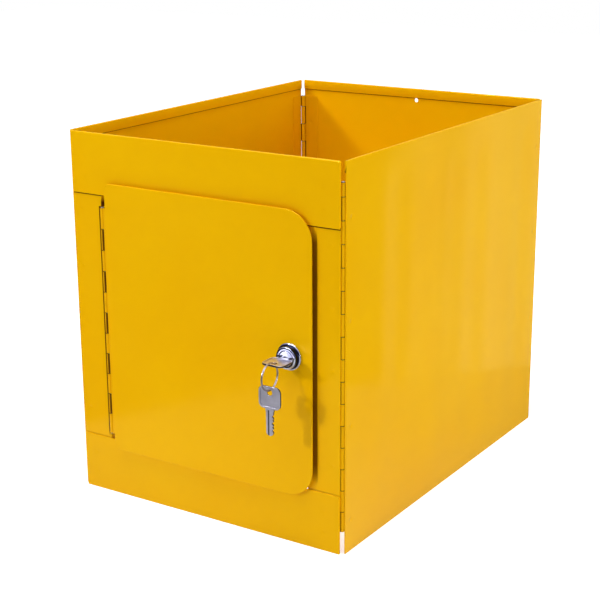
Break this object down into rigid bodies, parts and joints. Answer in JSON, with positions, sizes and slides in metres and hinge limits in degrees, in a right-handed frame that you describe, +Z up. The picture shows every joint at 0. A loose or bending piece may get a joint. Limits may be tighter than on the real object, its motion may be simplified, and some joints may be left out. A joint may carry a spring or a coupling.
{
  "type": "folding lockable box",
  "caption": "Folding lockable sheet-steel box, open at top and bottom: four panels on corner hinges, framed front with hinged door, cam lock, keys on a ring.",
  "frame": {"origin": "middle of the base of the whole object's bounding box, which counts the key and the ring in front of the door; the base is the bottom edge of the four panels", "axes": "+Z up, the front with the door faces -Y, +X is to the right of someone facing the front"},
  "size_m": [0.296, 0.4462, 0.35],
  "materials": {
    "yellow_enamel": "gloss enamel, light orange peel",
    "hinge_enamel": "gloss enamel over the hinge leaves",
    "pin_steel": "plain steel wire",
    "lock_chrome": "bright chrome plate",
    "wafer_brass": "stamped brass",
    "zinc_plate": "bright zinc plate",
    "key_nickel": "nickel plate, lightly scratched",
    "ring_steel": "polished spring steel"
  },
  "bodies": {
    "back": {"back_panel": "yellow_enamel", "back_right_hinge_back_leaf": "hinge_enamel", "back_left_hinge_back_leaf": "hinge_enamel"},
    "right_side": {"right_panel": "yellow_enamel", "front_right_hinge_side_leaf": "hinge_enamel", "front_right_hinge_pin": "pin_steel", "back_right_hinge_side_leaf": "hinge_enamel", "back_right_hinge_pin": "pin_steel"},
    "left_side": {"left_panel": "yellow_enamel", "front_left_hinge_side_leaf": "hinge_enamel", "front_left_hinge_pin": "pin_steel", "back_left_hinge_side_leaf": "hinge_enamel", "back_left_hinge_pin": "pin_steel"},
    "front": {"front_top_rail": "yellow_enamel", "front_bottom_rail": "yellow_enamel", "front_left_stile": "yellow_enamel", "front_right_stile": "yellow_enamel", "front_right_hinge_front_leaf": "hinge_enamel", "front_left_hinge_front_leaf": "hinge_enamel", "door_hinge_frame_leaf": "hinge_enamel", "door_hinge_pin": "pin_steel"},
    "door": {"door_plate": "yellow_enamel", "door_hinge_door_leaf": "hinge_enamel", "lock_housing": "lock_chrome", "lock_nut": "zinc_plate"},
    "lock_core": {"lock_plug": "lock_chrome", "lock_wafers": "wafer_brass", "lock_cam": "zinc_plate", "cam_washer": "zinc_plate", "cam_screw": "zinc_plate"},
    "key_in_lock": {"key": "key_nickel"},
    "ring": {"key_ring": "ring_steel"},
    "spare": {"spare_key": "key_nickel"}
  },
  "joints": [
    {"name": "fold", "type": "hinge", "parent": "back", "child": "right_side", "pos_m": [0.1445, 0.21965, 0], "axis": [0, 0, 1], "range_deg": [-70, 60]},
    {"name": "fold_left", "type": "hinge", "parent": "back", "child": "left_side", "pos_m": [-0.1445, 0.21965, 0], "axis": [0, 0, 1], "range_deg": [-70, 60]},
    {"name": "fold_front", "type": "hinge", "parent": "right_side", "child": "front", "pos_m": [0.1445, -0.17035, 0], "axis": [0, 0, 1], "range_deg": [-60, 70]},
    {"name": "door_hinge", "type": "hinge", "parent": "front", "child": "door", "pos_m": [-0.1088, -0.17585, 0.062], "axis": [0, 0, -1], "range_deg": [0, 150]},
    {"name": "lock_turn", "type": "hinge", "parent": "door", "child": "lock_core", "pos_m": [0.097, -0.17925, 0.1765], "axis": [0, 1, 0], "range_deg": [0, 90]},
    {"name": "key_pull", "type": "slide", "parent": "lock_core", "child": "key_in_lock", "axis": [0, -1, 0], "range_m": [0, 0.026]},
    {"name": "ring_swing", "type": "hinge", "parent": "key_in_lock", "child": "ring", "pos_m": [0.097, -0.2032, 0.1765], "axis": [0, 1, 0], "range_deg": [-20, 20]},
    {"name": "spare_key_swing", "type": "hinge", "parent": "ring", "child": "spare", "pos_m": [0.097, -0.21035, 0.1552], "axis": [0, 1, 0], "range_deg": [-40, 40]}
  ],
  "couplings": [
    {"joint": "fold_left", "follows": "fold", "ratio": 1},
    {"joint": "fold_front", "follows": "fold", "ratio": -1}
  ]
}
